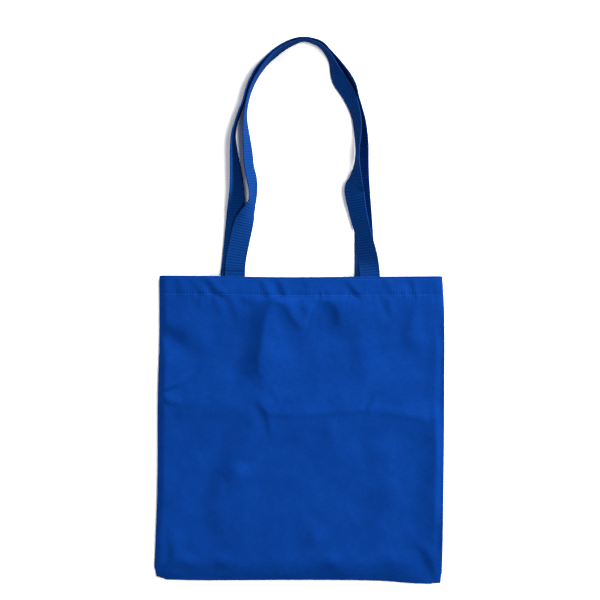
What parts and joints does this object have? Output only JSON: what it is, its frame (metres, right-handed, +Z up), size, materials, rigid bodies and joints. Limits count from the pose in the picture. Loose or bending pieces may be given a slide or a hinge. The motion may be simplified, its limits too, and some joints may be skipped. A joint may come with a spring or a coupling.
{
  "type": "cotton tote bag",
  "caption": "Flat cotton shopping tote lying on its back, with an open hemmed mouth and long webbing carrying handles.",
  "frame": {"origin": "middle of the back panel's underside, on the surface the bag lies on", "axes": "+X across the bag, +Y from the foot towards the mouth and handles, +Z up out of the front panel"},
  "size_m": [0.3622, 0.6828, 0.0367],
  "materials": {
    "cloth": "matte plain-weave cotton",
    "webbing": "matte ribbed cotton webbing",
    "thread": "matte twisted thread"
  },
  "bodies": {
    "root": {"front_panel": "cloth", "back_panel": "cloth", "front_handle": "webbing", "back_handle": "webbing", "front_hem_thread": "thread", "front_edge_thread": "thread", "back_hem_thread": "thread", "back_edge_thread": "thread"}
  },
  "joints": []
}
